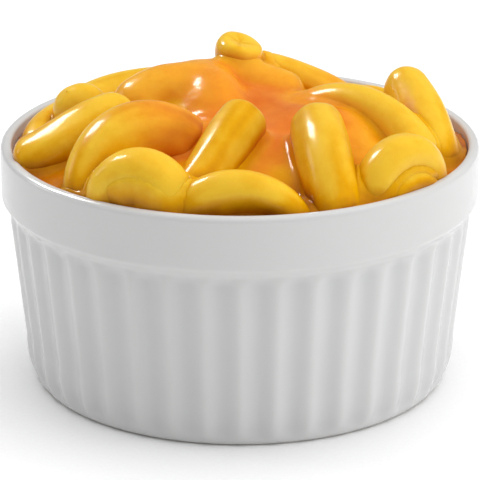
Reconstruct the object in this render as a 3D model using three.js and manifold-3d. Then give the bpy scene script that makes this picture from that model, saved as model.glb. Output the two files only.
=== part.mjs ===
// Elbow macaroni in cheese sauce, heaped in its fluted porcelain ramekin.
//
// Millimetres, +Z up. The origin is the middle of the ramekin's foot, on the surface it
// stands on. The front of the dish faces -Y.
//
//   ramekin        a round dish with a plain band at the rim, scalloped flutes below it,
//                  and a foot ring round a shallow recess
//   macaroni       the heap of cooked elbows: one solid that fills the dish from its
//                  floor and carries the bent tubes that stand out of the top
//   cheese_sauce   the pool of sauce that has settled in the middle of the heap

import * as THREE from 'three';
import { mergeVertices } from 'three/addons/utils/BufferGeometryUtils.js';
import Module from 'manifold-3d';

const manifold = await Module();
manifold.setup();

// ---- driving dimensions ----------------------------------------------------------------

const RIM_RADIUS = 45; // outside of the rim band
const HEIGHT = 46.2; // foot to the top of the rim
const BAND_HEIGHT = 10.9; // the plain band, down to the step above the flutes
const LIP = 1.1; // rounding of the rim's outer edge and of the band's lower edge
const CREST_TOP = 43.5; // radius over the flutes' crests, just under the band
const CREST_BOTTOM = 41; // the same where the base corner begins
const CORNER_HEIGHT = 9; // height of the rounded base corner
const FOOT_RADIUS = 37.6; // outside of the foot ring
const FOOT_WIDTH = 4.6; // width of the flat of the foot ring
const FOOT_RECESS = 1; // depth of the recess inside the foot ring

const FLUTES = 40;
const FLUTE_DEPTH = 0.85;
const SIDES_PER_FLUTE = 3;

const MOUTH_RADIUS = 42.9; // inside of the rim
const INNER_LIP = 0.5; // how far the mouth flares at the very top
const WALL_AT_FLOOR = 37.4; // inside radius above the floor's corner
const FLOOR = 4.6; // top of the dish's floor
const FLOOR_CORNER = 5; // inside corner radius

const GAP = 0.3; // clearance between pieces that touch

const LEVEL_AT_WALL = HEIGHT - 2.4; // where the heap meets the dish
const LEVEL_IN_MIDDLE = HEIGHT + 2.5; // the heap's body, under the elbows
const POOL_TOP = HEIGHT + 5.2;
const POOL_EDGE = HEIGHT + 0.2;
const POOL_BOTTOM = HEIGHT - 6;
const POOL_CENTRE = [6, -4];
const POOL_HALF = [15, 20]; // half its width and half its depth, before the waves

const RING_SIDES = 48; // sides of the round surfaces inside the dish
const TUBE_SIDES = 8;
const TUBE_STEPS = 5;
const TUBE_END = 1.4; // how far a tube's rounded end reaches past its centre line

// The elbows that stand out of the heap. Each is an arc through three points of its
// centre line, [start, crown, end], and the tube's radius. Heights are above the rim.
const ELBOWS = {
  frontArch: [[-9.6, -36.5, -4.6], [-0.4, -36.5, 1.7], [9.4, -36, -4.6], 4.4],
  frontLeft: [[-22.6, -31.4, -1.6], [-17.4, -33.3, 4.8], [-12.4, -35.2, -1.4], 4.6],
  leaning: [[-8.6, -31.5, -1], [-2.8, -22.2, 5.4], [0.6, -15.4, 8.1], 4.4],
  leftArch: [[-27.4, -27.6, -3], [-21.6, -19.6, 7.3], [-10.6, -14.2, 4.8], 4.8],
  frontRight: [[13.9, -17, 7.2], [15, -24, 5.2], [17.9, -35, -4.4], 5.2],
  rightArch: [[24.2, -28.6, -3], [28.6, -24.6, 4.7], [33.2, -19.8, -3], 4.4],
  leftRim: [[-37.2, -10.4, -1.6], [-32.2, -9.6, 1.2], [-23.6, -4.4, 4.4], 5.6],
  leftOpen: [[-30.4, 5.2, 5.4], [-27.2, 7.2, 1.6], [-21.4, 10, -1.6], 4.5],
  leftLow: [[-37.4, 2, -2.6], [-35.7, 10, -1.2], [-31.5, 17, -1], 4],
  backLeft: [[-31, 16, 0], [-25, 20.4, 1.6], [-14.2, 21.6, 2.8], 4.3],
  behindLeft: [[-24, 28, -2.5], [-18, 33, -0.8], [-12, 34, -0.6], 4],
  coated: [[-18, 5, 5.4], [-10.4, 7.8, 6.8], [-1.6, 10.4, 6.4], 5.4],
  summit: [[0.1, 17.6, 12.2], [0.9, 18.9, 8], [5.4, 21.2, 4.6], 5],
  middle: [[-6.6, 11.6, 6], [0.4, 13.4, 6.9], [8, 12.4, 5.4], 4.4],
  backSlope: [[5.6, 20.6, 5.4], [12.2, 22.2, 3.2], [19.6, 20.4, -0.4], 4.6],
  rightUpright: [[31.4, 9.2, 6.8], [34.4, 2.6, 4.4], [37.6, -6.4, -2.6], 4.4],
  rightInner: [[11.6, 4.6, 1.4], [22.6, -0.4, 5.6], [32.2, -9.6, 0.8], 4.7],
  rightRim: [[37.4, -5, -3.4], [37.6, 3, -1.6], [35.2, 12, -2], 3.7],
};

// The back of the heap: an outer and an inner row of elbows that lie at changing slants.
const BACK_ROWS = [
  { count: 6, radius: 34.5, from: 52, to: 128, rise: -1.2 },
  { count: 3, radius: 26, from: 70, to: 116, rise: 3.2 },
];
const BACK_TUBE = 4.2;
const BACK_BEND = 8; // radius of a back elbow's bend
const SLANTS = [20, 75, -35, 50, -70, 5];

// ---- geometry to solid and back ----------------------------------------------------------

function toSolid(geometry) {
  const bare = geometry.clone();
  bare.deleteAttribute('normal');
  bare.deleteAttribute('uv');
  const merged = mergeVertices(bare, 1e-4);
  const index = merged.index.array;
  const triangles = [];
  for (let i = 0; i < index.length; i += 3) {
    const [a, b, c] = [index[i], index[i + 1], index[i + 2]];
    if (a !== b && b !== c && c !== a) {
      triangles.push(a, b, c);
    }
  }
  return new manifold.Manifold(new manifold.Mesh({
    numProp: 3,
    vertProperties: new Float32Array(merged.attributes.position.array),
    triVerts: new Uint32Array(triangles),
  }));
}

function toMesh(name, solid, colour, roughness) {
  const shape = solid.getMesh();
  const geometry = new THREE.BufferGeometry();
  geometry.setAttribute('position', new THREE.BufferAttribute(shape.vertProperties, 3));
  geometry.setIndex(new THREE.BufferAttribute(shape.triVerts, 1));
  geometry.computeVertexNormals();
  const material = new THREE.MeshStandardMaterial({ color: colour, roughness, metalness: 0 });
  const mesh = new THREE.Mesh(geometry, material);
  mesh.name = name;
  return mesh;
}

// A profile of [radius, height] points, turned round Z. It starts and ends on the axis.
function turned(profile, sides) {
  const points = profile.map(([radius, height]) => new THREE.Vector2(radius, height));
  return new THREE.LatheGeometry(points, sides).rotateX(Math.PI / 2);
}

// Points on a quarter of an ellipse round a centre, without its two ends.
function quarter(centre, half, fromDegrees, steps) {
  const points = [];
  for (let i = 1; i < steps; i += 1) {
    const angle = THREE.MathUtils.degToRad(fromDegrees + (90 * i) / steps);
    points.push([centre[0] + half[0] * Math.cos(angle), centre[1] + half[1] * Math.sin(angle)]);
  }
  return points;
}

// ---- ramekin -----------------------------------------------------------------------------

function outsideOfDish() {
  const step = HEIGHT - BAND_HEIGHT;
  const cornerWidth = CREST_BOTTOM - FOOT_RADIUS;
  return [
    [0, FOOT_RECESS],
    [FOOT_RADIUS - FOOT_WIDTH - FOOT_RECESS, FOOT_RECESS],
    [FOOT_RADIUS - FOOT_WIDTH, 0],
    [FOOT_RADIUS, 0],
    ...quarter([FOOT_RADIUS, CORNER_HEIGHT], [cornerWidth, CORNER_HEIGHT], -90, 3),
    [CREST_BOTTOM, CORNER_HEIGHT],
    [CREST_TOP, step - LIP],
    [CREST_TOP, step],
    ...quarter([RIM_RADIUS - LIP, step + LIP], [LIP, LIP], -90, 2),
    [RIM_RADIUS, step + LIP],
    [RIM_RADIUS, HEIGHT - LIP],
    ...quarter([RIM_RADIUS - LIP, HEIGHT - LIP], [LIP, LIP], 0, 2),
    [RIM_RADIUS - LIP, HEIGHT],
    [0, HEIGHT],
  ];
}

// The inside of the dish, moved inwards by a clearance, up to a chosen top.
function insideOfDish(clearance, top) {
  const floor = FLOOR + clearance;
  const wall = WALL_AT_FLOOR - clearance;
  const corner = [wall - FLOOR_CORNER, floor + FLOOR_CORNER];
  return [
    [0, floor],
    [wall - FLOOR_CORNER, floor],
    ...quarter(corner, [FLOOR_CORNER, FLOOR_CORNER], -90, 3),
    [wall, floor + FLOOR_CORNER],
    [MOUTH_RADIUS - clearance, HEIGHT - 2 * INNER_LIP],
    [MOUTH_RADIUS + INNER_LIP - clearance, HEIGHT],
    [MOUTH_RADIUS + INNER_LIP - clearance, top],
    [0, top],
  ];
}

// Presses the flutes into the wall: a crest every pitch, and a round hollow between.
function flute(geometry) {
  const position = geometry.attributes.position;
  const flutedTop = HEIGHT - BAND_HEIGHT - LIP / 2;
  for (let i = 0; i < position.count; i += 1) {
    const [x, y, z] = [position.getX(i), position.getY(i), position.getZ(i)];
    const radius = Math.hypot(x, y);
    if (radius > FOOT_RADIUS + LIP / 2 && z > 0 && z < flutedTop) {
      const turn = ((Math.atan2(y, x) / (2 * Math.PI)) * FLUTES + FLUTES) % 1;
      const pressed = radius - FLUTE_DEPTH * Math.sin(Math.PI * turn);
      position.setX(i, (x * pressed) / radius);
      position.setY(i, (y * pressed) / radius);
    }
  }
  return geometry;
}

function ramekin() {
  const outside = toSolid(flute(turned(outsideOfDish(), FLUTES * SIDES_PER_FLUTE)));
  const inside = toSolid(turned(insideOfDish(0, HEIGHT + LIP), RING_SIDES));
  return outside.subtract(inside);
}

// ---- elbows ------------------------------------------------------------------------------

// The circular arc that runs through three points, and a little past the outer two.
class ArcThrough extends THREE.Curve {
  constructor(start, crown, end, past) {
    super();
    const toCrown = crown.clone().sub(start);
    const toEnd = end.clone().sub(start);
    const axis = toCrown.clone().cross(toEnd);
    const centre = axis.clone().cross(toCrown).multiplyScalar(toEnd.lengthSq());
    centre.add(toEnd.clone().cross(axis).multiplyScalar(toCrown.lengthSq()));
    centre.divideScalar(2 * axis.lengthSq()).add(start);
    this.centre = centre;
    this.along = start.clone().sub(centre);
    this.across = axis.normalize().cross(this.along);
    const last = end.clone().sub(centre);
    const sweep = Math.atan2(last.dot(this.across), last.dot(this.along));
    this.before = past / this.along.length();
    this.sweep = (sweep < 0 ? sweep + 2 * Math.PI : sweep) + 2 * this.before;
  }

  getPoint(fraction, target = new THREE.Vector3()) {
    const angle = this.sweep * fraction - this.before;
    target.copy(this.centre);
    target.addScaledVector(this.along, Math.cos(angle));
    return target.addScaledVector(this.across, Math.sin(angle));
  }
}

// A bent tube, made larger on all sides by a clearance.
function tube(points, radius, clearance) {
  const outline = new THREE.Shape();
  const outside = radius + clearance;
  for (let i = 0; i < TUBE_SIDES; i += 1) {
    const angle = (2 * Math.PI * i) / TUBE_SIDES;
    const place = [outside * Math.cos(angle), outside * Math.sin(angle)];
    if (i === 0) {
      outline.moveTo(...place);
    } else {
      outline.lineTo(...place);
    }
  }
  const path = new ArcThrough(...points, TUBE_END + clearance);
  return toSolid(new THREE.ExtrudeGeometry(outline, { steps: TUBE_STEPS, extrudePath: path }));
}

function standingElbows(clearance) {
  return Object.values(ELBOWS).map(([start, crown, end, radius]) => {
    const points = [start, crown, end].map(([x, y, z]) => new THREE.Vector3(x, y, z + HEIGHT));
    return tube(points, radius, clearance);
  });
}

function backElbows(clearance) {
  const tubes = [];
  for (const row of BACK_ROWS) {
    for (let i = 0; i < row.count; i += 1) {
      const part = i / (row.count - 1);
      const angle = THREE.MathUtils.degToRad(row.from + (row.to - row.from) * part);
      const slant = THREE.MathUtils.degToRad(SLANTS[(i + row.count) % SLANTS.length]);
      const crown = new THREE.Vector3(row.radius * Math.cos(angle), row.radius * Math.sin(angle), 0);
      crown.z = HEIGHT + row.rise;
      const along = new THREE.Vector3(Math.cos(angle + slant), Math.sin(angle + slant), 0);
      const points = [-1, 0, 1].map((side) => {
        const point = crown.clone().addScaledVector(along, side * BACK_BEND);
        point.z -= Math.abs(side) * (BACK_BEND / 2);
        return point;
      });
      tubes.push(tube(points, BACK_TUBE, clearance));
    }
  }
  return tubes;
}

function joined(solids) {
  return solids.reduce((whole, solid) => whole.add(solid));
}

// ---- heap and sauce ------------------------------------------------------------------------

function heapBody() {
  const wall = MOUTH_RADIUS - GAP - INNER_LIP;
  const profile = insideOfDish(GAP, HEIGHT).slice(0, 6);
  const rise = LEVEL_IN_MIDDLE - LEVEL_AT_WALL;
  const steps = 5;
  for (let i = 0; i <= steps; i += 1) {
    const part = i / steps;
    profile.push([wall * (1 - part), LEVEL_AT_WALL + rise * Math.sin((Math.PI / 2) * part)]);
  }
  return toSolid(turned(profile, RING_SIDES));
}

// The pool, as a turned lens that is then widened to its wavy outline.
function pool(clearance, top) {
  const geometry = turned([
    [0, POOL_BOTTOM - clearance],
    [0.8, POOL_BOTTOM - clearance],
    [1, POOL_EDGE - 2],
    [0.97, POOL_EDGE + top],
    [0.6, (POOL_EDGE + 2 * POOL_TOP) / 3 + top],
    [0, POOL_TOP + top],
  ], RING_SIDES);
  const position = geometry.attributes.position;
  for (let i = 0; i < position.count; i += 1) {
    const [x, y] = [position.getX(i), position.getY(i)];
    const angle = Math.atan2(y, x);
    const wave = 1 + 0.09 * Math.sin(3 * angle + 0.6) + 0.05 * Math.sin(5 * angle);
    position.setX(i, POOL_CENTRE[0] + x * (POOL_HALF[0] * wave + clearance));
    position.setY(i, POOL_CENTRE[1] + y * (POOL_HALF[1] * wave + clearance));
  }
  return toSolid(geometry);
}

function macaroni() {
  const tubes = joined([...standingElbows(0), ...backElbows(0)]);
  const body = heapBody().subtract(pool(GAP, HEIGHT));
  const inside = toSolid(turned(insideOfDish(GAP, 2 * HEIGHT), RING_SIDES));
  return body.add(tubes).intersect(inside);
}

function cheeseSauce() {
  return pool(0, 0).subtract(joined([...standingElbows(GAP), ...backElbows(GAP)]));
}

// ---- the part --------------------------------------------------------------------------------

const part = new THREE.Group();
part.add(toMesh('ramekin', ramekin(), 0xf1efeb, 0.15));
part.add(toMesh('macaroni', macaroni(), 0xe2a42a, 0.35));
part.add(toMesh('cheese_sauce', cheeseSauce(), 0xe58a2b, 0.25));

export default part;
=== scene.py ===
"""Elbow macaroni in cheese sauce, heaped in a fluted porcelain ramekin.

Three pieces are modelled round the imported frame: the ramekin, the separate elbows, and the
sauce that coats and joins them. The frame is in metres. The food is worked out in
millimetres, with heights measured from the plane of the rim.
"""

import functools
import math
from dataclasses import dataclass

import bpy
import numpy as np
import openvdb
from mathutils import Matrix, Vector


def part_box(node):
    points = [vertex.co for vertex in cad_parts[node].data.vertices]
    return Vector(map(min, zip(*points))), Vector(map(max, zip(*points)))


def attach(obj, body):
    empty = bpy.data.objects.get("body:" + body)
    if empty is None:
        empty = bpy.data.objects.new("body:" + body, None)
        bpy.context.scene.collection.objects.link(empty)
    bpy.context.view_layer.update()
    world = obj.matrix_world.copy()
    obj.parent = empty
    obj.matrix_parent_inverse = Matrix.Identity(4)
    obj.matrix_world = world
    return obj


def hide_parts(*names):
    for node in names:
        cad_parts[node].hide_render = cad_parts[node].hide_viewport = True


bl_info = {
    "name": "Mac and Cheese in a Ramekin",
    "version": (1, 0, 0),
    "blender": (4, 5, 0),
    "location": "View3D > Sidebar > Mac and Cheese",
    "description": "Builds elbow macaroni in cheese sauce, in its fluted porcelain dish",
    "category": "Add Mesh",
}

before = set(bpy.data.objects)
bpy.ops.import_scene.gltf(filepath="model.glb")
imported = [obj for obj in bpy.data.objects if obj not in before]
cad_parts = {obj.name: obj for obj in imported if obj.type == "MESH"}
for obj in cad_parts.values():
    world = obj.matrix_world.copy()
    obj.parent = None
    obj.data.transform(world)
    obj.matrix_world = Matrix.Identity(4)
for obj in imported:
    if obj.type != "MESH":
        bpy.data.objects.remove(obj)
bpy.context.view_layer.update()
DISH_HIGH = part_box("ramekin")[1]

MM = 0.001
FAR = 50.0  # a distance that stands for nothing near
RIM_RADIUS = DISH_HIGH.x / MM
RIM_TOP = DISH_HIGH.z / MM


# ---- settings that a user would change ---------------------------------------------------


def linear(code):
    """The linear colour of an sRGB hex code."""
    parts = [int(code[i : i + 2], 16) / 255 for i in (1, 3, 5)]
    return [p / 12.92 if p <= 0.04045 else ((p + 0.055) / 1.055) ** 2.4 for p in parts] + [1.0]


def length(name, description, default):
    return bpy.props.FloatProperty(
        name=name, description=description, default=default * MM, unit="LENGTH", subtype="DISTANCE"
    )


def colour(name, description, code):
    return bpy.props.FloatVectorProperty(
        name=name, description=description, default=linear(code), size=4, subtype="COLOR",
        min=0.0, max=1.0,
    )


def power(name, description, default):
    return bpy.props.FloatProperty(
        name=name, description=description, default=default, unit="POWER", min=0.0
    )


class DishSettings(bpy.types.PropertyGroup):
    """Sizes of the ramekin that the frame's box doesn't give, and its white."""

    flutes: bpy.props.IntProperty(
        name="Flutes", description="How many hollows go round the dish", default=40, min=8
    )
    flute_depth: length("Flute Depth", "How deep each hollow is pressed", 0.8)
    band_height: length("Band Height", "Plain band, from the rim to the step under it", 10.9)
    wall: length("Rim Thickness", "Thickness of the wall at the rim", 2.1)
    glaze_thin: colour("Glaze on Crests", "White where the glaze has run thin", "#D0D0CF")
    glaze_pooled: colour("Glaze in Hollows", "White where the glaze has pooled", "#CACACA")
    bare_foot: colour("Bare Foot", "Unglazed clay of the foot ring", "#DDDBD6")


class FoodSettings(bpy.types.PropertyGroup):
    """How the elbows and the sauce are made, and their colours."""

    pasta_wall: length("Pasta Wall", "Thickness of a cooked elbow's wall", 1.6)
    fillet: length("Sauce Fillet", "How far the sauce fills the corner between two elbows", 2.4)
    cell: length("Sauce Cell", "Size of the cells that the sauce is worked out on", 0.5)
    seed: bpy.props.IntProperty(name="Seed", description="Picks the loose elbows", default=11)
    # Each set of four is one colour of pasta or sauce, painted lighter on crests that stand clear
    # and darker as painted shade on the flanks, low down and in the gaps.
    pasta_crest: colour("Pasta Crests", "Pasta that stands clear of the heap", "#EEBF34")
    pasta_flank: colour("Pasta Flanks", "Pasta on the sides of an elbow", "#DFA102")
    pasta_low: colour("Pasta Low Down", "Pasta near the sauce between elbows", "#C98702")
    pasta_deep: colour("Pasta in Gaps", "Pasta down in the gaps", "#9A5502")
    sauce_crest: colour("Sauce Crests", "Sauce over the tops", "#F09A26")
    sauce_flank: colour("Sauce Flanks", "Sauce on the slopes", "#E07E24")
    sauce_low: colour("Sauce Low Down", "Sauce at the foot of an elbow", "#D0600A")
    sauce_deep: colour("Sauce in Gaps", "Sauce down in the gaps", "#982B00")


class StudioSettings(bpy.types.PropertyGroup):
    """Powers of the studio lights."""

    overhead: power("Overhead", "The wide soft box over the dish", 35.0)
    side: power("Side", "The low, wide soft box on the right", 5.6)
    edge: power("Edge", "The low light behind on the left, along the flutes", 0.9)
    sparkle: power("Sparkle", "The small light behind on the left, for the wet shine", 5.0)


# ---- meshes ------------------------------------------------------------------------------


def add_mesh(name, points, faces, material, attributes=()):
    """A smooth mesh object from points in millimetres above the rim."""
    mesh = bpy.data.meshes.new(name)
    world = (np.asarray(points) + (0.0, 0.0, RIM_TOP)) * MM
    mesh.from_pydata(world.tolist(), [], faces)
    mesh.shade_smooth()
    for label, values in dict(attributes).items():
        layer = mesh.attributes.new(label, "FLOAT", "POINT")
        layer.data.foreach_set("value", np.asarray(values, np.float32))
    mesh.materials.append(material)
    mesh.validate()
    piece = bpy.data.objects.new(name, mesh)
    bpy.context.scene.collection.objects.link(piece)
    return piece


def strip_faces(rings, sides, first=0):
    """Quads between closed rings of points, in order, facing out."""
    ring = np.arange(rings - 1)[:, None] * sides
    side = np.arange(sides)[None, :]
    after = (side + 1) % sides
    quads = np.stack([ring + side, ring + after, ring + sides + after, ring + sides + side], -1)
    return (quads.reshape(-1, 4) + first).tolist()


def fan_faces(pole, first, sides, outward):
    """Triangles from a pole point to a ring."""
    side = np.arange(sides)
    after = (side + 1) % sides
    pair = (first + side, first + after) if outward else (first + after, first + side)
    return np.stack([np.full(sides, pole), *pair], -1).tolist()


def smooth_step(low, high, value):
    """0 below low, 1 above high, and an even curve between them."""
    part = np.clip((value - low) / (high - low), 0.0, 1.0)
    return part * part * (3.0 - 2.0 * part)


# ---- materials ---------------------------------------------------------------------------


def add_node(tree, kind, settings=None, stops=(), **inputs):
    """Adds a node with its settings, and sets or links its inputs by name or as i and a number."""
    node = tree.nodes.new(kind)
    for key, value in (settings or {}).items():
        setattr(node, key, value)
    for i, (place, shade) in enumerate(stops):
        elements = node.color_ramp.elements
        element = elements[i] if i < len(elements) else elements.new(place)
        element.position = place
        element.color = shade
    for key, value in inputs.items():
        socket = node.inputs[int(key[1:]) if key[1:].isdigit() else key.replace("_", " ")]
        if isinstance(value, bpy.types.Node):
            value = next(output for output in value.outputs if output.enabled)
        if isinstance(value, bpy.types.NodeSocket):
            tree.links.new(value, socket)
        else:
            socket.default_value = value
    return node


def new_material(name):
    material = bpy.data.materials.new(name)
    material.use_nodes = True
    material.node_tree.nodes.clear()
    return material, material.node_tree


GLAZE_ROUGHNESS = 0.2
CLAY_ROUGHNESS = 0.75


def glazed_porcelain(dish):
    """Slip-cast white porcelain, dipped in clear glaze and fired on its bare foot.

    The glaze gives a sharp reflection over a slightly uneven body. It pools in the hollows of
    the flutes, a touch darker, and thins over the crests. The foot ring is wiped bare.
    """
    material, tree = new_material("glazed porcelain")
    place = add_node(tree, "ShaderNodeTexCoord").outputs["Object"]
    pooled = add_node(tree, "ShaderNodeAttribute", {"attribute_name": "glaze"}).outputs["Fac"]
    bare = add_node(tree, "ShaderNodeAttribute", {"attribute_name": "bare"}).outputs["Fac"]
    cloud = add_node(tree, "ShaderNodeTexNoise", Vector=place, Scale=1 / (9.0 * MM), Detail=2.0)
    uneven = add_node(
        tree, "ShaderNodeMath", {"operation": "MULTIPLY_ADD"}, i0=cloud, i1=0.5, i2=-0.25
    )
    thickness = add_node(tree, "ShaderNodeMath", {"operation": "ADD"}, i0=pooled, i1=uneven)
    white = add_node(
        tree, "ShaderNodeValToRGB", i0=thickness,
        stops=[(0.0, dish.glaze_thin), (1.0, dish.glaze_pooled)],
    )
    body = add_node(
        tree, "ShaderNodeMix", {"data_type": "RGBA"}, i0=bare, i6=white, i7=dish.bare_foot
    )
    dull = add_node(
        tree, "ShaderNodeMapRange", Value=bare, To_Min=GLAZE_ROUGHNESS, To_Max=CLAY_ROUGHNESS
    )
    swells = add_node(tree, "ShaderNodeTexNoise", Vector=place, Scale=1 / (6.0 * MM), Detail=1.0)
    ripple = add_node(tree, "ShaderNodeBump", Strength=0.05, Distance=0.4 * MM, Height=swells)
    shader = add_node(
        tree, "ShaderNodeBsdfPrincipled", Base_Color=body.outputs[2], Roughness=dull, IOR=1.5,
        Normal=ripple,
    )
    add_node(tree, "ShaderNodeOutputMaterial", Surface=shader)
    return material


PAINTED_SHADE_STOPS = {"crest": 0.0, "flank": 0.3, "low": 0.62, "deep": 1.0}  # where each colour stands, from the lit crest to painted shade down in the gaps
WATER_IOR = 1.34


def painted_shade_ramp(food, kind):
    """The four colours of the pasta or the sauce, from lit crest to painted shade in the gaps, each
    at its depth in the heap.
    """
    return [(depth, getattr(food, f"{kind}_{name}")) for name, depth in PAINTED_SHADE_STOPS.items()]


def wet_food(name, food, gloss, lump, height):
    """A wet, translucent surface: yellow pasta where bare, orange where sauce covers it.

    Both colours are painted darker as shade where the surface lies down between the elbows
    and low in the dish, and lighter on the crests. The gloss is its roughness, streaked by the
    sauce. The lump size and height are those of the swells that catch the light, in millimetres.
    """
    material, tree = new_material(name)
    place = add_node(tree, "ShaderNodeTexCoord").outputs["Object"]
    # The depth attribute is painted shade between the elbows and low in the dish; on the sauce it
    # also holds thick sauce as a deeper orange.
    depth = add_node(tree, "ShaderNodeAttribute", {"attribute_name": "depth"}).outputs["Fac"]
    cover = add_node(tree, "ShaderNodeAttribute", {"attribute_name": "sauce"}).outputs["Fac"]
    cloud = add_node(
        tree, "ShaderNodeTexNoise", Vector=place, Scale=1 / (5.0 * MM), Detail=4.0, Roughness=0.6
    )
    uneven = add_node(
        tree, "ShaderNodeMath", {"operation": "MULTIPLY_ADD"}, i0=cloud, i1=0.6, i2=-0.3
    )
    level = add_node(tree, "ShaderNodeMath", {"operation": "ADD"}, i0=depth, i1=uneven)
    pasta = add_node(tree, "ShaderNodeValToRGB", i0=level, stops=painted_shade_ramp(food, "pasta"))
    sauce = add_node(tree, "ShaderNodeValToRGB", i0=level, stops=painted_shade_ramp(food, "sauce"))
    blend = add_node(
        tree, "ShaderNodeMix", {"data_type": "RGBA"}, i0=cover, i6=pasta, i7=sauce
    )
    streaks = add_node(tree, "ShaderNodeTexNoise", Vector=place, Scale=1 / (3.5 * MM), Detail=3.0)
    wetness = add_node(
        tree, "ShaderNodeMapRange", Value=streaks, To_Min=gloss - 0.06, To_Max=gloss + 0.08
    )
    swells = add_node(tree, "ShaderNodeTexNoise", Vector=place, Scale=1 / (lump * MM), Detail=2.0)
    lumps = add_node(tree, "ShaderNodeBump", Strength=0.25, Distance=height * MM, Height=swells)
    shader = add_node(
        tree, "ShaderNodeBsdfPrincipled", Base_Color=blend.outputs[2], Roughness=wetness,
        IOR=WATER_IOR, Specular_IOR_Level=0.12, Normal=lumps,
        Subsurface_Weight=0.2, Subsurface_Radius=(1.0, 0.4, 0.08), Subsurface_Scale=2.0 * MM,
        Coat_Weight=0.33, Coat_Roughness=0.12, Coat_IOR=1.4,
    )
    add_node(tree, "ShaderNodeOutputMaterial", Surface=shader)
    return material


def boiled_pasta(food):
    """Durum wheat macaroni, extruded, boiled soft and turned in sauce.

    It is smooth and swollen, with a wet shine over a slightly translucent yellow body.
    """
    return wet_food("boiled durum pasta", food, gloss=0.3, lump=3.0, height=0.45)


def melted_cheese(food):
    """Cheddar melted into a smooth sauce: thick, orange, poured and half set.

    Surface tension pulls it glassy smooth, with soft swells where it runs over the pasta.
    """
    return wet_food("melted cheese sauce", food, gloss=0.24, lump=5.0, height=1.3)


# ---- ramekin -----------------------------------------------------------------------------

LIP = 1.1  # rounding of the rim, outside
INNER_LIP = 0.7  # and inside
STEP_SPREAD = 1.3  # half the height over which the wall steps out to the band
UNDER_STEP = 3.2  # from the middle of the step down to the top of the tapered wall
CREST_TOP = 43.5  # radius over the crests of the flutes, under the band
CREST_BOTTOM = 41.0  # and over the rounded corner at the foot
CORNER_HEIGHT = 9.0
FOOT_RADIUS = 37.6
FOOT_WIDTH = 4.6
FOOT_RECESS = 1.0
FOOT_EDGE = (0.5, 0.3)  # rounding of the foot ring's inner edge, across and up
BARE_HEIGHT = 0.35  # up to which the foot ring is bare clay
FLOOR = 4.6  # height of the dish's inside above its foot
FLOOR_CORNER = 5.0
WALL_AT_FLOOR = 37.4
MIDDLE = 0.5  # radius of the last ring round the middle of the floor
SIDES_PER_FLUTE = 12
FLUTE_ROUNDING = 0.6  # of its crests, as a part of its depth
FLUTE_GAP = 0.2  # from the step down to the top of a hollow
FLUTE_ARCH = 0.6  # how far the top of a hollow arches
FLUTE_TOP_FADE = 3.0  # height over which a hollow fades in under its top
FLUTE_FOOT_FADE = (0.2, 3.4)  # and the heights between which it fades out at the foot


def arc_points(centre, half, start, stop, steps):
    """Points on an ellipse's arc, with both ends, in degrees."""
    angles = np.radians(np.linspace(start, stop, steps))
    return np.column_stack(
        [centre[0] + half[0] * np.cos(angles), centre[1] + half[1] * np.sin(angles)]
    )


def line_points(start, stop, steps):
    """Points on a line, without its last end."""
    part = np.linspace(0.0, 1.0, steps, endpoint=False)[:, None]
    return np.asarray(start) * (1 - part) + np.asarray(stop) * part


def step_points(step):
    """The soft step out from the flutes to the band."""
    part = np.linspace(0.0, 1.0, 14)
    return np.column_stack([
        CREST_TOP + (RIM_RADIUS - CREST_TOP) * smooth_step(0.0, 1.0, part),
        step + STEP_SPREAD * (2 * part - 1),
    ])


def inside_radius(height, wall):
    """Radius of the dish's inside at a height above the foot."""
    low, high = FLOOR + FLOOR_CORNER, RIM_TOP
    part = (height - low) / (high - low)
    return WALL_AT_FLOOR + (RIM_RADIUS - wall - WALL_AT_FLOOR) * part


def dish_profile(dish):
    """The wall's section, from the middle of the underside, out, up, over and back in."""
    wall, band = dish.wall / MM, dish.band_height / MM
    step = RIM_TOP - band
    crest = (FOOT_RADIUS, CORNER_HEIGHT)
    mouth = RIM_RADIUS - wall
    inner_corner = (WALL_AT_FLOOR - FLOOR_CORNER, FLOOR + FLOOR_CORNER)
    ring = FOOT_RADIUS - FOOT_WIDTH
    return np.vstack([
        line_points((MIDDLE, FOOT_RECESS), (ring - 2 * FOOT_RECESS, FOOT_RECESS), 8),
        arc_points((ring - 2 * FOOT_RECESS, 0.0), (FOOT_RECESS, FOOT_RECESS), 90, 20, 4),
        arc_points((ring, FOOT_EDGE[1]), FOOT_EDGE, 180, 270, 4),
        line_points((ring + 0.8, 0.0), (FOOT_RADIUS - 0.6, 0.0), 4),
        arc_points(crest, (CREST_BOTTOM - FOOT_RADIUS, CORNER_HEIGHT), -88, 0, 16),
        line_points((CREST_BOTTOM, CORNER_HEIGHT + 0.6), (CREST_TOP, step - UNDER_STEP), 14),
        line_points((CREST_TOP, step - UNDER_STEP), (CREST_TOP, step - STEP_SPREAD), 8),
        step_points(step),
        line_points((RIM_RADIUS, step + 2 * STEP_SPREAD), (RIM_RADIUS, RIM_TOP - LIP), 8),
        arc_points((RIM_RADIUS - LIP, RIM_TOP - LIP), (LIP, LIP), 0, 90, 9),
        arc_points((mouth + INNER_LIP, RIM_TOP - INNER_LIP), (INNER_LIP, INNER_LIP), 90, 180, 7),
        line_points((mouth - 0.1, RIM_TOP - 1.5), (WALL_AT_FLOOR, inner_corner[1]), 12),
        arc_points(inner_corner, (FLOOR_CORNER, FLOOR_CORNER), 0, -90, 7),
        line_points((inner_corner[0] - 1, FLOOR), (MIDDLE, FLOOR), 4),
    ])


def flute_shape(turn):
    """0 on a crest and 1 in the middle of a hollow, with the crest rounded."""
    soft = FLUTE_ROUNDING
    wave = np.sin(np.pi * turn)
    return (np.sqrt(wave**2 + soft**2) - soft) / (math.sqrt(1 + soft**2) - soft)


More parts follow.
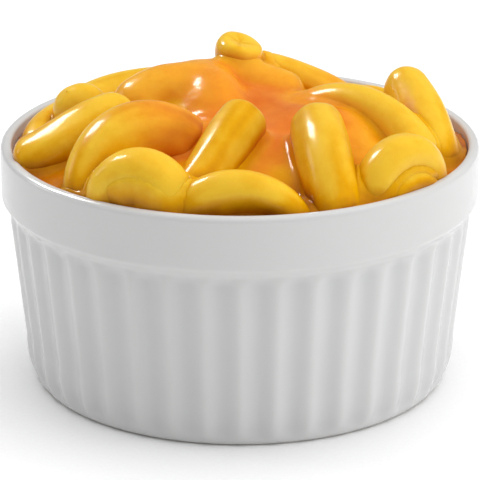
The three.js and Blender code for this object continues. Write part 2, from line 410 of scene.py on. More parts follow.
def build_ramekin(dish):
    """The dish, turned from its section, with the flutes pressed into its outside."""
    profile = dish_profile(dish)
    sides = dish.flutes * SIDES_PER_FLUTE
    angle = 2 * np.pi * np.arange(sides) / sides - np.pi / 2
    turn = (np.arange(sides) / SIDES_PER_FLUTE) % 1.0
    hollow = flute_shape(turn)[None, :]
    radius = np.repeat(profile[:, :1], sides, 1)
    height = np.repeat(profile[:, 1:], sides, 1)
    outside = np.zeros(len(profile), bool)
    outside[: int(np.argmax(profile[:, 0])) + 1] = True
    step = RIM_TOP - dish.band_height / MM
    top = step - FLUTE_GAP - FLUTE_ARCH * (1 - hollow)
    reach = smooth_step(0.0, FLUTE_TOP_FADE, top - height)
    reach = reach * smooth_step(*FLUTE_FOOT_FADE, height)
    reach *= outside[:, None] * (radius > FOOT_RADIUS - FOOT_WIDTH / 2)
    pressed = hollow * reach
    radius = radius - dish.flute_depth / MM * pressed
    points = np.stack(
        [radius * np.cos(angle), radius * np.sin(angle), height - RIM_TOP], -1
    ).reshape(-1, 3)
    on_ring = radius > FOOT_RADIUS - FOOT_WIDTH - FOOT_EDGE[1]
    ring = on_ring & (height < BARE_HEIGHT) & outside[:, None]
    poles = np.array([[0, 0, FOOT_RECESS - RIM_TOP], [0, 0, FLOOR - RIM_TOP]])
    count = len(points)
    faces = strip_faces(len(profile), sides)
    faces += fan_faces(count, 0, sides, False)
    faces += fan_faces(count + 1, count - sides, sides, True)
    extra = np.zeros(2)
    piece = add_mesh(
        "ramekin_glazed", np.vstack([points, poles]), faces, glazed_porcelain(dish),
        {"glaze": np.append(pressed.ravel(), extra), "bare": np.append(ring.ravel(), extra)},
    )
    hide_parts("ramekin")
    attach(piece, "root")
    return piece


# ---- elbows ------------------------------------------------------------------------------

TUBE_SIDES = 48
TUBE_RINGS = 24
OPEN_ROUNDING = 0.8  # rounding of an open end's edge
OPEN_DEPTH = 4.0  # how deep the sauce lies in an open end
OPEN_PAST = 2.0  # and how far in front of it there is none
EDGE_DEPTH = 0.25  # how far under the skin the sauce is kept off an open end's edge
CAP_RISE = 0.3  # how far the middle of a closed end stands out
CAP_RINGS = (0.9, 0.75, 0.6, 0.4, 0.2)  # rings that close an end, as parts of its edge's radius
DENT = 0.8  # radius of the hollow in a collapsed end, as a part of the elbow's
DENT_CLEAR = 0.8  # how far under that end's skin the sauce is kept
MOST_SWELL = 1.15  # the widest that unevenness makes an elbow, as a part of its radius
CREASE_WIDTH = 0.45  # of a fold, in radians round the section
# Unevenness: its height as a part of the radius, waves round and along, and how phase shifts it.
RIPPLES = [(0.03, 0, 6.0, 1), (0.025, 3, 5.0, 2), (0.007, 7, 4.0, 3)]
# Streaks of colour along an elbow, partly its uneven colour and partly painted light along its
# ridges: strength, waves round it, drift, and how phase shifts them.
STREAKS = [(0.5, 4, 1.0, 1), (0.3, 7, -1.4, 5), (0.2, 11, 2.0, 2)]
STREAK_SHADE = 0.2  # how much the colour changes over the streaks


@dataclass
class Elbow:
    """A bent tube: its centre line is the arc through start, crown and end."""

    start: tuple
    crown: tuple
    end: tuple
    radius: float
    coat: tuple = (0.0, 0.0)  # how orange with sauce it is at its start and its end
    poured: bool = False  # whether it lies wholly under the poured sauce
    open_ends: tuple = (False, False)
    oval: float = 0.07  # how far its section is from round
    flare: float = 0.0  # how much wider it is at its end than at its start
    web: float = 0.0  # how far the inside of its bend has swollen shut
    crease: float = 0.0  # depth of a fold along it
    crease_at: float = 90.0  # where the fold lies round the section, in degrees
    pinch: float = 0.0  # how far an open end has closed up
    blunt: float = 0.55  # rounding of a closed end, as a part of the radius
    sunk: float = 0.0  # how far the middle of a collapsed end at its start has sunk in
    tone: float = 0.0  # how much deeper its colour is than its neighbours': partly its own colour, set at random, and partly painted shade set for the standing elbows
    phase: float = 0.0  # shifts its unevenness

    def __post_init__(self):
        """Works out the arc's centre and radius, and the directions out, along and across it."""
        a, b, c = (np.array(p, float) for p in (self.start, self.crown, self.end))
        ab, ac = b - a, c - a
        axis = np.cross(ab, ac)
        centre = np.cross(axis, ab) * ac.dot(ac) + np.cross(ac, axis) * ab.dot(ab)
        self.centre = a + centre / (2 * axis.dot(axis))
        self.bend = np.linalg.norm(a - self.centre)
        self.out = (a - self.centre) / self.bend
        self.axis = axis / np.linalg.norm(axis)
        self.along = np.cross(self.axis, self.out)
        last = c - self.centre
        self.sweep = math.atan2(last.dot(self.along), last.dot(self.out)) % (2 * math.pi)
        self.rounding = [
            OPEN_ROUNDING if is_open else self.blunt * self.radius for is_open in self.open_ends
        ]

    def radius_at(self, part, angle):
        """Radius of the section at a part of the length and an angle round it."""
        swell = self.oval * np.cos(2 * angle + self.phase + 1.5 * part)
        for height, around, along, shift in RIPPLES:
            swell = swell + height * np.sin(around * angle + along * part + shift * self.phase)
        away = np.abs((angle - math.radians(self.crease_at) + np.pi) % (2 * np.pi) - np.pi)
        fold = self.crease * np.exp(-((away / CREASE_WIDTH) ** 2))
        fold = fold * np.sin(np.pi * np.clip(part, 0, 1))
        web = self.web * np.clip(-np.cos(angle), 0, 1) ** 2
        return self.radius * (1 + swell) + self.flare * smooth_step(0, 1, part) + web - fold

    def streak_at(self, part, angle):
        """How much deeper the colour is along the streaks, from -1 to 1: partly the pasta's uneven
        colour, partly painted light and shade along its ridges.
        """
        sway = 1.5 * np.sin(2.6 * part + self.phase)
        return sum(
            strength * np.sin(around * angle + drift * sway + shift * self.phase)
            for strength, around, drift, shift in STREAKS
        )

    def place(self, part, angle, scale):
        """Points at parts of the length, angles round it, and scales of its radius."""
        turn = self.sweep * part
        outward = np.cos(turn)[..., None] * self.out + np.sin(turn)[..., None] * self.along
        reach = scale * self.radius_at(part, angle)
        side = (reach * np.cos(angle))[..., None] * outward
        return (
            self.centre + self.bend * outward + side + (reach * np.sin(angle))[..., None] * self.axis
        )

    def centre_line(self, count):
        return self.place(np.linspace(0, 1, count), np.zeros(count), np.zeros(count))

    def box(self, margin):
        """The corners of a box round it, with a margin."""
        line = self.centre_line(12)
        grow = self.radius * MOST_SWELL + self.flare + self.web + margin
        return line.min(0) - grow, line.max(0) + grow

    def distance(self, points, wall):
        """Signed distances from points to its skin and its hollow, and parts of its length."""
        offset = points - self.centre
        across, forward = offset @ self.out, offset @ self.along
        middle = self.sweep / 2
        turn = (np.arctan2(forward, across) - middle + np.pi) % (2 * np.pi) - np.pi + middle
        past = self.bend * np.maximum(np.maximum(turn - self.sweep, -turn), 0)
        part = np.clip(turn / self.sweep, 0, 1)
        outward, side = np.hypot(across, forward) - self.bend, offset @ self.axis
        angle, reach = np.arctan2(side, outward), np.hypot(outward, side)
        skin = reach - self.radius_at(part, angle)
        at_start = turn < middle
        rounding = np.where(at_start, *self.rounding)
        solid = np.where(past > 0, 0, np.minimum(skin + rounding, 0))
        solid = solid + np.hypot(np.maximum(skin + rounding, 0), past) - rounding
        inward = self.bend * np.where(at_start, turn, self.sweep - turn)
        bore = reach - (reach - skin - wall) * (1 - self.pinch * np.sin(angle) ** 2)
        hollow = np.maximum(bore, inward - OPEN_DEPTH)
        edge = np.maximum(skin + EDGE_DEPTH, inward - OPEN_ROUNDING)
        hollow = np.maximum(np.minimum(hollow, edge), -inward - OPEN_PAST)
        hollow = np.where(np.where(at_start, *self.open_ends), hollow, FAR)
        if self.sunk:
            bottom = self.sunk + DENT_CLEAR - self.rounding[0]
            dent = np.maximum(reach - DENT * self.radius, inward - bottom)
            hollow = np.minimum(hollow, np.where(at_start, dent, FAR))
        return solid, hollow, part


def end_rings(elbow, end, wall):
    """(distance past the end, scale, how far inside the hollow it is) from the skin inwards."""
    radius, rounding = elbow.radius, elbow.rounding[end]
    if not elbow.open_ends[end]:
        rings = [
            (rounding * math.sin(a), 1 - rounding / radius * (1 - math.cos(a)), 0.0)
            for a in np.radians(np.linspace(18, 90, 6))
        ]
        last, scale, _ = rings[-1]
        rise = -elbow.sunk if elbow.sunk and end == 0 else CAP_RISE
        return rings + [(last + rise * (1 - s * s) ** 2, scale * s, 0.0) for s in CAP_RINGS]
    half = wall / 2
    rings = [
        (half * math.sin(a), 1 - (half - half * math.cos(a)) / radius, 0.5 - 0.5 * math.cos(a))
        for a in np.radians(np.linspace(15, 165, 9))
    ]
    bore = 1 - wall / radius
    deepest = OPEN_DEPTH + 1
    rings += [(-depth, bore, 1.0) for depth in np.linspace(0.4, deepest, 5)]
    return rings + [(-deepest - 0.6, bore * 0.6, 1.0), (-deepest - 0.8, 0.05, 1.0)]


def elbow_mesh(elbow, wall):
    """Points, faces, parts of the length and angles round the section of one elbow."""
    length_mm = elbow.bend * elbow.sweep
    before = [
        (-past / length_mm, scale, hollow)
        for past, scale, hollow in reversed(end_rings(elbow, 0, wall))
    ]
    after = [
        (1 + past / length_mm, scale, hollow) for past, scale, hollow in end_rings(elbow, 1, wall)
    ]
    tube = [(part, 1.0, 0.0) for part in np.linspace(0, 1, TUBE_RINGS)]
    rings = np.array(before + tube + after)
    angle = 2 * np.pi * np.arange(TUBE_SIDES) / TUBE_SIDES
    part = np.repeat(rings[:, :1], TUBE_SIDES, 1)
    around = np.repeat(angle[None, :], len(rings), 0)
    closing = elbow.pinch * rings[:, 2:] * np.sin(around) ** 2
    scale = rings[:, 1:2] * (1 - closing)
    points = elbow.place(part, around, scale).reshape(-1, 3)
    count = len(points)
    poles = elbow.place(rings[[0, -1], 0], np.zeros(2), np.zeros(2))
    faces = strip_faces(len(rings), TUBE_SIDES)
    faces += fan_faces(count, 0, TUBE_SIDES, False)
    faces += fan_faces(count + 1, count - TUBE_SIDES, TUBE_SIDES, True)
    parts = np.concatenate([part.ravel(), rings[[0, -1], 0]])
    return np.vstack([points, poles]), faces, parts, np.append(around.ravel(), [0.0, 0.0])


# The elbows that give the heap its outline, from the front row to the back.
STANDING = [
    # front arch, front left and the curl inside it, leaning, left arch, front right, right arch
    Elbow((-9.6, -36.5, -4.6), (-0.4, -36.5, 1.7), (9.4, -36, -4.6), 4.5, phase=0.4),
    Elbow(
        (-22.6, -31.4, -1.6), (-17.4, -33.3, 4.8), (-12.4, -35.2, -1.4), 4.7, web=3.4,
        tone=-0.25, phase=1.7,
    ),
    Elbow(
        (-21, -31.8, -3.4), (-17, -33.8, 1.8), (-12.8, -34.8, -3.4), 4.6, web=2, tone=-0.3,
        phase=0.6,
    ),
    Elbow((-8.6, -31.5, -1), (-2.8, -22.2, 5.4), (0.6, -15.4, 8.1), 4.4, tone=0.2, phase=2.9),
    Elbow(
        (-27.4, -27.6, -3), (-21.6, -19.6, 7.3), (-10.6, -14.2, 4.8), 4.8, (-0.3, 0.8), web=3,
        tone=0.12, phase=4.2,
    ),
    Elbow((13.9, -17, 7.2), (15, -24, 5.2), (17.9, -35, -4.4), 5.3, tone=0.1, phase=5.1),
    Elbow(
        (24.2, -28.6, -3), (28.6, -24.6, 4.7), (33.2, -19.8, -3), 4.4, web=3, tone=-0.15,
        phase=0.9,
    ),
    Elbow((25.4, -29.4, -5.5), (29, -26.4, 0.2), (33, -22.2, -5.5), 4, phase=2.0),
    # left rim, left end, left low, back left, behind left
    Elbow(
        (-37.2, -10.4, -1.6), (-32.2, -9.6, 1.2), (-23.6, -4.4, 4.4), 5.7, crease=-0.9,
        crease_at=0, tone=0.1, phase=3.3,
    ),
    Elbow(
        (-30.4, 5.2, 4.8), (-27.2, 7.2, 1.6), (-21.4, 10, -1.6), 4.6, oval=0.14, blunt=0.95,
        tone=-0.3, phase=0.5,
    ),
    Elbow((-37.4, 2, -2.6), (-35.7, 10, -1.2), (-31.5, 17, -1), 4, phase=1.1),
    Elbow((-31, 16, 0), (-25, 20.4, 1.6), (-14.2, 21.6, 2.8), 4.3, phase=0.2),
    Elbow((-24, 28, -2.5), (-18, 33, -0.8), (-12, 34, -0.6), 4, phase=5.6),
    # coated twice, summit, middle, back slope, right upright, right inner, right rim
    Elbow((-18.6, 4.6, 5.2), (-14, 7, 6.4), (-8.4, 9, 5), 4.6, (0.6, 1), True, phase=4.6),
    Elbow((-5.4, 2.6, 4.6), (-6.6, 7.6, 6.4), (-8, 12.6, 4.6), 5, (1, 1), True, phase=1.2),
    Elbow(
        (-0.2, 17.5, 12.1), (0.9, 18.9, 7.6), (4.4, 20.8, 4.6), 5, blunt=0.42, sunk=0.35,
        phase=3.9,
    ),
    Elbow((-6.6, 12.2, 5.4), (0.4, 14, 6.1), (8, 13, 4.6), 3.7, (0.1, 0.1), True, phase=1.9),
    Elbow((5.6, 20.6, 5.4), (12.2, 22.2, 3.2), (19.6, 20.4, -0.4), 4.6, (0.15, 0.5), phase=2.6),
    Elbow(
        (31.4, 8.2, 7.4), (33.4, 3.2, 4.4), (35.6, -5.4, -3), 4.2, flare=2.0, blunt=0.95,
        phase=5.9,
    ),
    Elbow(
        (11.6, 4.6, 1.4), (22.6, -0.4, 5.6), (32.2, -9.6, 0.8), 4.7, (0.05, -0.3), tone=-0.5,
        phase=0.7,
    ),
    Elbow((37.4, -5, -3.4), (37.6, 3, -1.6), (35.2, 12, -2), 3.7, (0.6, 0.3), phase=3.0),
]


def build_elbows(food):
    """All the elbows as one piece, each with its coat of sauce, its own shift of colour, and painted
    shade between the elbows and low in the dish.
    """
    heap = made_heap(*heap_settings())
    points, faces, coats, tone_and_shade_shifts, first = [], [], [], [], 0
    for elbow in heap.elbows:
        spots, sides, parts, angles = elbow_mesh(elbow, food.pasta_wall / MM)
        points.append(spots)
        faces += [[corner + first for corner in face] for face in sides]
        coats.append(coat_at(elbow, parts))
        tone_and_shade_shifts.append(elbow.tone + STREAK_SHADE * elbow.streak_at(parts, angles))
        first += len(spots)
    points = np.vstack(points)
    piece = add_mesh(
        "elbow_macaroni", points, faces, boiled_pasta(food),
        {
            # depth: painted shade between the elbows and low down, plus each elbow's own shift,
            # partly painted shade, and its streaks
            "depth": np.clip(heap.painted_shade_at(points) + np.concatenate(tone_and_shade_shifts), 0, 1),
            "sauce": heap.pasta_sauce(points, np.concatenate(coats)),
        },
    )
    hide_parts("macaroni")
    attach(piece, "root")
    return piece


def coat_at(elbow, parts):
    """How orange with sauce an elbow is at parts of its length."""
    first, last = elbow.coat
    return np.clip(first + (last - first) * smooth_step(0.2, 0.9, parts), 0, 1)


# ---- loose elbows ------------------------------------------------------------------------

MOUND_FOOT = -3.4  # height of the mound of loose elbows at the wall
MOUND_RISE = 7.0  # and from there to its middle
MOUND_CURVE = 2.2
LOOSE_TRIES = 4000
LOOSE_MOST = 46  # elbows
LOOSE_REACH = 37.0  # how far from the middle they are dropped
POOL_FREE = 0.5  # no elbow lies where the pool is fuller than this
LEAST_SPACE = 5.9  # between the centre lines of two elbows
FRONT = -8.0  # nearer than this, loose elbows lie only in the lower layer
FRONT_HALF = 26.0  # and only this near the middle
WALL_SPACE = 2.6  # from an elbow out to the outside of the rim
FIRST_LAYER = 0.6  # the part of the tries that fills the upper layer
LOWER_LAYER = -4.5  # height of the other layer, from the mound


def mound(x, y):
    """Height of the centre lines of the elbows that lie loose on the heap."""
    rim = np.hypot(x, y) / RIM_RADIUS
    return MOUND_FOOT + MOUND_RISE * (1 - rim**MOUND_CURVE)


def loose_elbow(random, layer):
    """One elbow at a random place, heading and lean, at a layer's height over the mound."""
    reach = LOOSE_REACH * math.sqrt(random.random())
    around = random.uniform(0, 2 * math.pi)
    x, y = reach * math.cos(around), reach * math.sin(around)
    bend = random.uniform(7.0, 10.0)
    half = random.uniform(0.75, 1.15)
    heading = random.uniform(0, 2 * math.pi)
    lean = math.radians(random.uniform(5, 75))
    flat = np.array([math.cos(heading), math.sin(heading), 0.0])
    up = np.array([-flat[1] * math.cos(lean), flat[0] * math.cos(lean), math.sin(lean)])
    crown = np.array([x, y, mound(x, y) + layer + random.uniform(-1.0, 1.0)])
    ends = [
        crown + side * bend * math.sin(half) * flat - bend * (1 - math.cos(half)) * up
        for side in (-1, 1)
    ]
    return Elbow(
        tuple(ends[0]), tuple(crown), tuple(ends[1]), random.uniform(4.0, 4.5),
        open_ends=tuple(bool(draw < 0.45) for draw in random.random(2)),
        oval=random.uniform(0.02, 0.09), pinch=random.uniform(0, 0.5),
        tone=random.uniform(-0.12, 0.12), phase=random.uniform(0, 2 * math.pi),
    )


def loose_elbows(seed):
    """Elbows dropped at random round the standing ones, where there is room for them."""
    random = np.random.default_rng(seed)
    lines = [elbow.centre_line(7) for elbow in STANDING]
    found = []
    for attempt in range(LOOSE_TRIES):
        layer = 0.0 if attempt < LOOSE_TRIES * FIRST_LAYER else LOWER_LAYER
        elbow = loose_elbow(random, layer)
        spots = elbow.centre_line(7)
        x, y, _ = elbow.crown
        in_front = y < FRONT and (abs(x) > FRONT_HALF or layer == 0.0)
        farthest = np.hypot(spots[:, 0], spots[:, 1]).max()
        outside = farthest + elbow.radius > RIM_RADIUS - WALL_SPACE
        in_pool = pool_part(spots[:, 0], spots[:, 1]).max() > POOL_FREE
        space = min(
            np.linalg.norm(spots[:, None] - other[None], axis=-1).min() for other in lines
        )
        if in_front or outside or in_pool or space < LEAST_SPACE:
            continue
        lines.append(spots)
        found.append(elbow)
        if len(found) == LOOSE_MOST:
            break
    return found


# ---- sauce -------------------------------------------------------------------------------

GRID_LOW = -10.0  # the grid's lowest and highest planes, from the rim
GRID_HIGH = 20.0
CORE_TOP = GRID_LOW + 1.0  # below this the sauce and pasta are one packed core
POOL_CENTRE = (6.0, -4.0)
POOL_HALF = (19.0, 24.0)
POOL_EDGE = (0.45, 1.25)  # where it goes from full to none, as parts of its half widths
POOL_TOP = 6.4  # height in the middle of the pool, which rises towards the back
POOL_SLOPE = 0.09
POOL_EASE = 0.85  # makes a height over the sauce's sloping surface about a distance from it
LEVEL_AT_WALL = -2.8
LEVEL_INSIDE = 2.0
LEVEL_FALL = (0.55, 0.95)  # where it falls from one to the other, as parts of the rim's radius
CLIMB = 0.9  # how far the sauce climbs the wall
CLIMB_PLACE = (0.925, 0.955)  # and where, as parts of the rim's radius
SWELL = 0.35  # height of the slow swells all over it
SWELL_WAVES = [(0.31, 1.1), (0.27, -0.4)]  # radians a millimetre and shift, across and back
NEAR = 4.0  # how far from an elbow the distance to it is worked out
SKIN = 0.15  # how far the sauce stays under the skin of an elbow next to it
CORNER = 0.3  # how far the filled surface stands off an elbow's own in a corner
HIDDEN = 1.6  # how far inside a bare elbow the sauce ends
COAT = 0.8  # thickness of the sauce over a coated elbow
POURED = 3.2  # how softly poured sauce rounds what lies under it
POURED_REACH = (0.8, 3.0)  # from covered with poured sauce to bare, by the distance from it
WALL_OVERLAP = 0.05  # how far the sauce goes into the dish's wall, so that no gap shows
CROWD_BLUR = 1.7  # how far off its neighbours cast painted shade on an elbow
CROWD_RANGE = (0.4, 0.94)  # how full the space round a point is, from clear to closed in
LOW_HALF = 4.5  # the painted shade deepens from this far above the rim to as far below it
LOW_SHADE = 0.9  # how much painted shade there is at the foot of the heap
LAP = (-0.2, 1.6)  # from under the sauce to clear of it, for the orange that laps the pasta
FILM = (0.3, 2.4)  # thickness of the sauce from a film, which shows the pasta, to full colour
POOL_FULL = 0.8  # how full the pool's colour is at least
OWN_ORANGE = 0.35  # how orange thick sauce is outside the pool
THICK_SHADE = 0.34  # how much deeper its colour is where the pool is thick
THICK = (0.8, 4.0)  # depth of the sauce over the pasta from thin to thick
FLOOR_GAP = 0.3  # between the sauce's underside and the floor of the dish
# Where sauce has gathered: its place, its rise and how far it spreads.
GATHERED = [
    ((37, -2), 1.8, 8.0), ((-25, -26), 1.8, 7.0), ((30, -20), 1.5, 6.0), ((-17, -33), 2.0, 5.0),
    ((20, -8), 3.0, 6.0), ((-33, -20), 1.6, 6.0), ((-6, -13), 2.0, 6.0), ((21.5, -31), 3.0, 4.5),
    ((-10, 3), 2.0, 6.0),
]
# Where it has sunk between elbows.
SUNK = [((9, -29), 2.2, 6.0), ((13, 15), 2.0, 6.0), ((-34, -21), 1.2, 5.0)]


def pool_part(x, y):
    """1 in the middle of the pool of sauce, falling to 0 outside it."""
    across, deep = (x - POOL_CENTRE[0]) / POOL_HALF[0], (y - POOL_CENTRE[1]) / POOL_HALF[1]
    return 1 - smooth_step(*POOL_EDGE, np.hypot(across, deep))


def sauce_level(x, y):
    """Height of the sauce's own surface, away from the elbows."""
    rim = np.hypot(x, y) / RIM_RADIUS
    inside = 1 - smooth_step(*LEVEL_FALL, rim)
    level = LEVEL_AT_WALL + (LEVEL_INSIDE - LEVEL_AT_WALL) * inside
    pool = POOL_TOP + POOL_SLOPE * (y - POOL_CENTRE[1])
    level = level + (pool - level) * pool_part(x, y)
    sunk = [(place, -fall, spread) for place, fall, spread in SUNK]
    for place, rise, spread in GATHERED + sunk:
        away = np.hypot(x - place[0], y - place[1]) / spread
        level = level + rise * np.exp(-(away**2))
    level = level + CLIMB * smooth_step(*CLIMB_PLACE, rim)
    swell = [np.sin(wave * side + shift) for side, (wave, shift) in zip((x, y), SWELL_WAVES)]
    return level + SWELL * swell[0] * swell[1]


def smooth_least(first, second, blend):
    """The lesser of two distances, rounded over a blend width where they are alike."""
    part = np.clip(0.5 + 0.5 * (second - first) / blend, 0, 1)
    return second * (1 - part) + first * part - blend * part * (1 - part)


def blurred(values, cells):
    """Gaussian blur along all three axes."""
    reach = int(3 * cells)
    weights = np.exp(-0.5 * (np.arange(-reach, reach + 1) / cells) ** 2)
    weights /= weights.sum()
    for axis in range(3):
        padded = np.pad(
            values, [(reach, reach) if a == axis else (0, 0) for a in range(3)], mode="edge"
        )
        total = np.zeros_like(values)
        for i, weight in enumerate(weights):
            window = [slice(None)] * 3
            window[axis] = slice(i, i + values.shape[axis])
            total += weight * padded[tuple(window)]
        values = total
    return values


class Heap:
    """The elbows, and the distances that the sauce and the colours are worked out from."""

    def __init__(self, cell, fillet, pasta_wall, dish_wall, seed):
        self.cell = cell
        self.elbows = STANDING + loose_elbows(seed)
        self.low = np.array([-RIM_RADIUS, -RIM_RADIUS, GRID_LOW])
        highs = (RIM_RADIUS, RIM_RADIUS, GRID_HIGH)
        self.axes = [np.arange(low, high, cell) for low, high in zip(self.low, highs)]
        x, y, z = np.meshgrid(*self.axes, indexing="ij", sparse=True)
        shape = tuple(len(axis) for axis in self.axes)
        self.pasta = np.full(shape, FAR)
        self.coat = np.zeros(shape)
        joined, hollows, poured = (np.full(shape, FAR) for _ in range(3))
        for elbow in self.elbows:
            window = self.window(elbow.box(NEAR))
            grid = np.meshgrid(*[a[w] for a, w in zip(self.axes, window)], indexing="ij")
            near, hollow, part = elbow.distance(np.stack(grid, -1), pasta_wall)
            nearer = near < self.pasta[window]
            self.coat[window] = np.where(nearer, coat_at(elbow, part), self.coat[window])
            self.pasta[window] = np.minimum(self.pasta[window], near)
            joined[window] = smooth_least(joined[window], near, fillet)
            hollows[window] = np.minimum(hollows[window], hollow)
            if elbow.poured:
                poured[window] = smooth_least(poured[window], near - COAT, POURED)
        pool = POOL_EASE * (z - sauce_level(x, y))
        poured = smooth_least(poured, pool, POURED)
        bare = 1 - smooth_step(0.0, CORNER, self.pasta - joined)
        bare = bare * smooth_step(*POURED_REACH, poured)
        sauce = smooth_least(joined + SKIN + HIDDEN * bare, poured, fillet)
        sauce = np.maximum(sauce, -hollows)
        outside = np.hypot(x, y) - inside_radius(z + RIM_TOP, dish_wall) - WALL_OVERLAP
        self.sauce = np.maximum(np.maximum(sauce, outside), CORE_TOP - z)
        solid = np.minimum(np.minimum(self.sauce, self.pasta), np.where(z < 0, -outside, FAR))
        # How full the space round each point is, blurred: it sets the painted shade in crevices.
        self.crowding = blurred(np.clip(0.5 - solid / cell, 0, 1), CROWD_BLUR / cell)

    def window(self, box):
        """The slices of the grid that lie in a box."""
        return tuple(
            slice(*np.clip(np.searchsorted(axis, (a, b)), 0, len(axis)))
            for axis, a, b in zip(self.axes, *box)
        )

    def sample(self, values, points):
        """Values of a grid at points, by trilinear interpolation."""
        place = (np.asarray(points) - self.low) / self.cell
        place = np.clip(place, 0, np.array(values.shape) - 1.001)
        base = place.astype(int)
        part = place - base
        total = np.zeros(len(place))
        for corner in np.ndindex(2, 2, 2):
            weight = np.prod(np.where(corner, part, 1 - part), axis=1)
            total += weight * values[tuple((base + corner).T)]
        return total

    def painted_shade_at(self, points):
        """Painted shade, from 0 on a ridge that stands clear to 1 down between the elbows or low at
        the wall.
        """
        crevice_shade = smooth_step(*CROWD_RANGE, self.sample(self.crowding, points))
        # painted shade that deepens lower in the dish
        low = 1 - smooth_step(-LOW_HALF, LOW_HALF, points[:, 2])
        return 1 - (1 - crevice_shade) * (1 - LOW_SHADE * low)

    def pasta_sauce(self, points, coats):
        """How orange the pasta is: its own coat, and what laps it from the pool."""
        lap = 1 - smooth_step(*LAP, self.sample(self.sauce, points))
        return np.clip(np.maximum(coats, lap * pool_part(points[:, 0], points[:, 1])), 0, 1)

    def sauce_sauce(self, points):
        """How orange the sauce is: a thin film shows the pasta under it."""
        pool = pool_part(points[:, 0], points[:, 1])
        thick = smooth_step(*FILM, self.sample(self.pasta, points))
        thick = np.maximum(thick, POOL_FULL * pool)
        own = OWN_ORANGE + (1 - OWN_ORANGE) * pool
        return thick * own + (1 - thick) * self.sample(self.coat, points)


def heap_settings():
    """What the heap is worked out from, as plain numbers in millimetres."""
    food, dish = bpy.context.scene.mac_food, bpy.context.scene.mac_dish
    return food.cell / MM, food.fillet / MM, food.pasta_wall / MM, dish.wall / MM, food.seed


@functools.lru_cache(maxsize=1)
def made_heap(*settings):
    """The heap, worked out once for both the elbows and the sauce."""
    return Heap(*settings)


def build_sauce(food):
    """The surface of the sauce, with its underside drawn in to the floor of the dish."""
    heap = made_heap(*heap_settings())
    pad = 2
    grid = openvdb.FloatGrid(FAR)
    padded = np.pad(heap.sauce, pad, constant_values=FAR)
    grid.copyFromArray(padded.astype(np.float32))
    points, triangles, quads = grid.convertToPolygons(isovalue=0.0, adaptivity=0.0)
    points = (points - pad) * heap.cell + heap.low
    faces = [*triangles[:, ::-1].tolist(), *quads[:, ::-1].tolist()]
    # Thick sauce in the pool is a deeper orange; over that lies the painted shade between the elbows
    # and low in the dish.
    thick = THICK_SHADE * pool_part(points[:, 0], points[:, 1])
    thick *= smooth_step(*THICK, heap.sample(heap.pasta, points))
    depth = 1 - (1 - heap.painted_shade_at(points)) * (1 - thick)
    attributes = {"depth": depth, "sauce": heap.sauce_sauce(points)}
    bottom = points[:, 2] < CORE_TOP + heap.cell
    wall = bpy.context.scene.mac_dish.wall / MM
    shrink = (WALL_AT_FLOOR - FLOOR_CORNER) / inside_radius(CORE_TOP + RIM_TOP, wall)
    points[bottom] = points[bottom] * (shrink, shrink, 0) + (0, 0, FLOOR + FLOOR_GAP - RIM_TOP)
    piece = add_mesh("cheese_sauce_poured", points, faces, melted_cheese(food), attributes)
    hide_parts("cheese_sauce")
    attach(piece, "root")
    return piece


# ---- stage -------------------------------------------------------------------------------

CAMERA_AWAY = 0.63  # from the middle of the rim, in metres
CAMERA_ELEVATION = 18.2
CAMERA_LENS = 251.0
AIM_HEIGHT = 0.0259
FLOOR_HALF = 3.0
ROOM_LIGHT = 0.3  # strength of the pale room all round


def studio_floor():
    """Matt white paper sweep: pale, even, without shine."""
    material, tree = new_material("matt white paper")
    place = add_node(tree, "ShaderNodeTexCoord").outputs["Object"]
    fibre = add_node(tree, "ShaderNodeTexNoise", Vector=place, Scale=1 / (0.8 * MM), Detail=2.0)
    white = add_node(
        tree, "ShaderNodeValToRGB", i0=fibre,
        stops=[(0.3, linear("#FCFCFC")), (0.7, linear("#FFFFFF"))],
    )
    shader = add_node(
        tree, "ShaderNodeBsdfPrincipled", Base_Color=white, Roughness=1.0, Specular_IOR_Level=0.0
    )
    add_node(tree, "ShaderNodeOutputMaterial", Surface=shader)
    return material


def point_at(thing, place, target):
    """Puts a light or the camera at a place, turned to a target."""
    thing.location = place
    direction = np.asarray(target, float) - np.asarray(place, float)
    thing.rotation_euler = Vector(direction).to_track_quat("-Z", "Y").to_euler()


def add_light(name, place, size, watts, shine=True, fill=True):
    """A soft box turned to the dish. Without shine it isn't mirrored; without fill, it only is."""
    lamp = bpy.data.lights.new(name, "AREA")
    lamp.shape = "RECTANGLE"
    lamp.size, lamp.size_y = size
    lamp.energy = watts
    light = bpy.data.objects.new(name, lamp)
    light.visible_glossy = shine
    light.visible_diffuse = fill
    bpy.context.scene.collection.objects.link(light)
    point_at(light, place, (0, 0, RIM_TOP * MM))


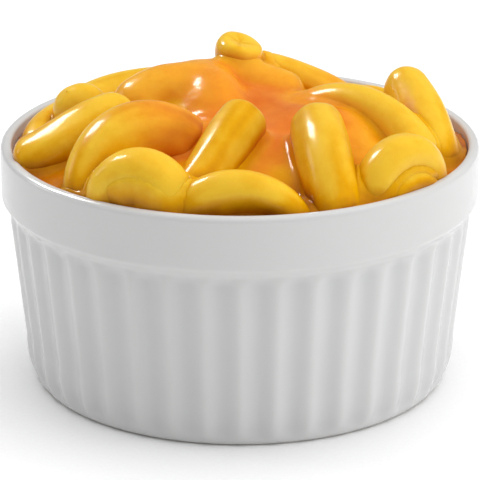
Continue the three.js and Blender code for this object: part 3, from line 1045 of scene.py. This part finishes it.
def build_stage(studio):
    """The floor, the lights, the pale room round them and the camera."""
    scene = bpy.context.scene
    mesh = bpy.data.meshes.new("floor")
    turns = ((-1, -1), (1, -1), (1, 1), (-1, 1))
    corners = [(x * FLOOR_HALF, y * FLOOR_HALF, 0) for x, y in turns]
    mesh.from_pydata(corners, [], [(0, 1, 2, 3)])
    mesh.materials.append(studio_floor())
    floor = bpy.data.objects.new("floor", mesh)
    scene.collection.objects.link(floor)

    add_light("overhead", (0.22, 0.1, 1.5), (2.4, 2.4), studio.overhead, shine=False)
    add_light("side", (1.3, -0.3, 0.2), (1.2, 0.36), studio.side, shine=False)
    add_light("edge", (-0.9, 0.3, 0.36), (0.3, 0.3), studio.edge)
    add_light("sparkle", (-0.38, 0.34, 0.52), (0.2, 0.2), studio.sparkle, fill=False)

    world = bpy.data.worlds.new("soft white room")
    world.use_nodes = True
    background = world.node_tree.nodes["Background"]
    background.inputs["Color"].default_value = linear("#FDFDFF")
    background.inputs["Strength"].default_value = ROOM_LIGHT
    scene.world = world
    scene.view_settings.view_transform = "Standard"

    camera = bpy.data.objects.new("camera", bpy.data.cameras.new("camera"))
    camera.data.lens = CAMERA_LENS
    camera.data.clip_start = 0.01
    scene.collection.objects.link(camera)
    up = math.radians(CAMERA_ELEVATION)
    place = (0, -CAMERA_AWAY * math.cos(up), RIM_TOP * MM + CAMERA_AWAY * math.sin(up))
    point_at(camera, place, (0, 0, AIM_HEIGHT))
    scene.camera = camera


# ---- operators and panel -----------------------------------------------------------------


class MAC_OT_ramekin(bpy.types.Operator):
    """Turn the fluted ramekin and glaze it"""

    bl_idname = "mac.ramekin"
    bl_label = "Ramekin"

    def execute(self, context):
        build_ramekin(context.scene.mac_dish)
        return {"FINISHED"}


class MAC_OT_elbows(bpy.types.Operator):
    """Heap the elbows of macaroni in the dish"""

    bl_idname = "mac.elbows"
    bl_label = "Elbows"

    def execute(self, context):
        build_elbows(context.scene.mac_food)
        return {"FINISHED"}


class MAC_OT_sauce(bpy.types.Operator):
    """Pour the cheese sauce over and between the elbows"""

    bl_idname = "mac.sauce"
    bl_label = "Cheese Sauce"

    def execute(self, context):
        build_sauce(context.scene.mac_food)
        return {"FINISHED"}


class MAC_OT_stage(bpy.types.Operator):
    """Set up the floor, the lights and the camera"""

    bl_idname = "mac.stage"
    bl_label = "Studio"

    def execute(self, context):
        build_stage(context.scene.mac_studio)
        return {"FINISHED"}


OPERATORS = (MAC_OT_ramekin, MAC_OT_elbows, MAC_OT_sauce, MAC_OT_stage)
SETTINGS = {"mac_dish": DishSettings, "mac_food": FoodSettings, "mac_studio": StudioSettings}


class MAC_PT_panel(bpy.types.Panel):
    """Lists the pieces and their settings"""

    bl_label = "Mac and Cheese"
    bl_space_type = "VIEW_3D"
    bl_region_type = "UI"
    bl_category = "Mac and Cheese"

    def draw(self, context):
        for name, kind in SETTINGS.items():
            for key in kind.__annotations__:
                self.layout.prop(getattr(context.scene, name), key)
        for operator in OPERATORS:
            self.layout.operator(operator.bl_idname)


CLASSES = (*SETTINGS.values(), *OPERATORS, MAC_PT_panel)


def register():
    for kind in CLASSES:
        bpy.utils.register_class(kind)
    for name, kind in SETTINGS.items():
        setattr(bpy.types.Scene, name, bpy.props.PointerProperty(type=kind))


def unregister():
    for name in SETTINGS:
        delattr(bpy.types.Scene, name)
    for kind in reversed(CLASSES):
        bpy.utils.unregister_class(kind)


def main():
    register()
    bpy.ops.mac.ramekin()
    bpy.ops.mac.elbows()
    bpy.ops.mac.sauce()
    bpy.ops.mac.stage()


if __name__ == "__main__":
    main()
